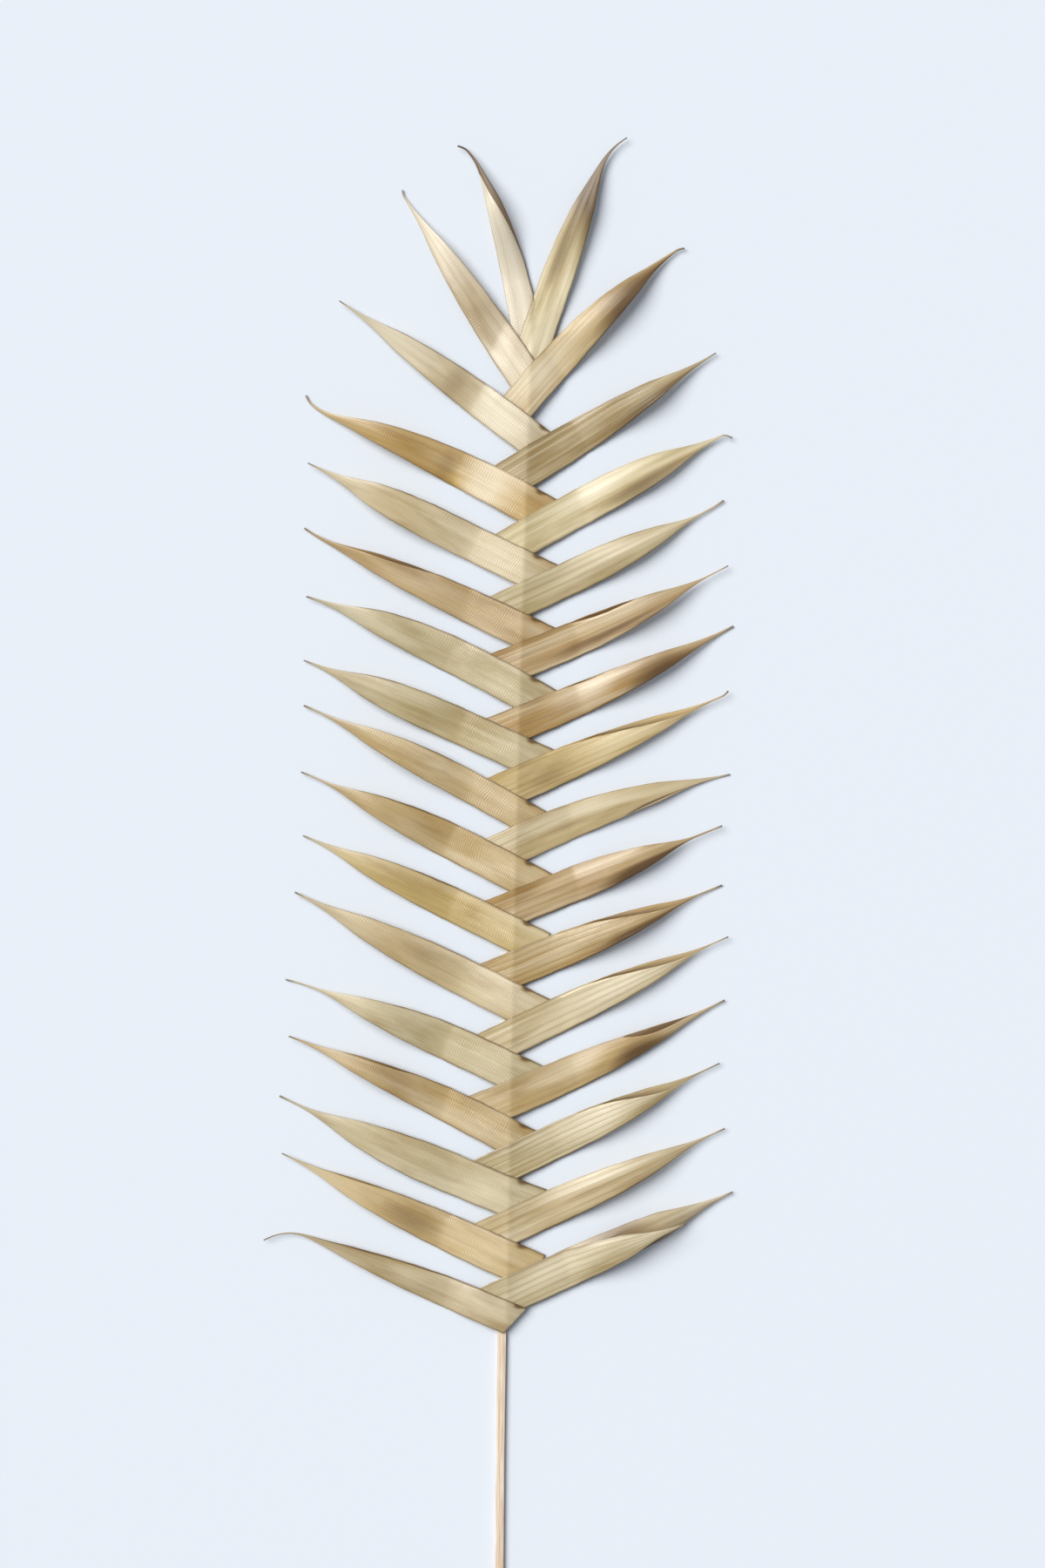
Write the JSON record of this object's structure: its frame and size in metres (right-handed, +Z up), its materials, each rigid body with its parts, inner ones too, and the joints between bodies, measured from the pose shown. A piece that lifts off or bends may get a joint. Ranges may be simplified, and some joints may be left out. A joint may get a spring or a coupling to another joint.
{
  "type": "dried palm leaf pick",
  "caption": "Dried palm leaf strips woven in a herringbone over a split stick, with long thin tips fanning out at the top; lies flat.",
  "frame": {"origin": "middle of the part's outline at the surface that it lies on", "axes": "+Y along the stick towards the fanned top, +X towards the right tips seen from the front, +Z up from the surface"},
  "size_m": [0.2161, 0.6968, 0.0096],
  "materials": {
    "stick": "matt split stem, pale front",
    "strip_left_01": "satin dried leaf blade",
    "strip_right_01": "satin dried leaf blade",
    "strip_left_02": "satin dried leaf blade",
    "strip_right_02": "satin dried leaf blade",
    "strip_left_03": "satin dried leaf blade",
    "strip_right_03": "satin dried leaf blade",
    "strip_left_04": "satin dried leaf blade",
    "strip_right_04": "satin dried leaf blade",
    "strip_left_05": "satin dried leaf blade",
    "strip_right_05": "satin dried leaf blade",
    "strip_left_06": "satin dried leaf blade",
    "strip_right_06": "satin dried leaf blade",
    "strip_left_07": "satin dried leaf blade",
    "strip_right_07": "satin dried leaf blade",
    "strip_left_08": "satin dried leaf blade",
    "strip_right_08": "satin dried leaf blade",
    "strip_left_09": "satin dried leaf blade",
    "strip_right_09": "satin dried leaf blade",
    "strip_left_10": "satin dried leaf blade",
    "strip_right_10": "satin dried leaf blade",
    "strip_left_11": "satin dried leaf blade",
    "strip_right_11": "satin dried leaf blade",
    "strip_left_12": "satin dried leaf blade",
    "strip_right_12": "satin dried leaf blade",
    "strip_left_13": "satin dried leaf blade",
    "strip_right_13": "satin dried leaf blade",
    "strip_left_14": "satin dried leaf blade",
    "strip_right_14": "satin dried leaf blade",
    "strip_left_15": "satin dried leaf blade",
    "strip_right_15": "satin dried leaf blade",
    "strip_left_16": "satin dried leaf blade",
    "strip_right_16": "satin dried leaf blade",
    "strip_right_17": "satin dried leaf blade",
    "strip_left_17": "satin dried leaf blade"
  },
  "bodies": {
    "root": {"stick": "stick", "strip_left_01": "strip_left_01", "strip_right_01": "strip_right_01", "strip_left_02": "strip_left_02", "strip_right_02": "strip_right_02", "strip_left_03": "strip_left_03", "strip_right_03": "strip_right_03", "strip_left_04": "strip_left_04", "strip_right_04": "strip_right_04", "strip_left_05": "strip_left_05", "strip_right_05": "strip_right_05", "strip_left_06": "strip_left_06", "strip_right_06": "strip_right_06", "strip_left_07": "strip_left_07", "strip_right_07": "strip_right_07", "strip_left_08": "strip_left_08", "strip_right_08": "strip_right_08", "strip_left_09": "strip_left_09", "strip_right_09": "strip_right_09", "strip_left_10": "strip_left_10", "strip_right_10": "strip_right_10", "strip_left_11": "strip_left_11", "strip_right_11": "strip_right_11", "strip_left_12": "strip_left_12", "strip_right_12": "strip_right_12", "strip_left_13": "strip_left_13", "strip_right_13": "strip_right_13", "strip_left_14": "strip_left_14", "strip_right_14": "strip_right_14", "strip_left_15": "strip_left_15", "strip_right_15": "strip_right_15", "strip_left_16": "strip_left_16", "strip_right_16": "strip_right_16", "strip_right_17": "strip_right_17", "strip_left_17": "strip_left_17"}
  },
  "joints": []
}
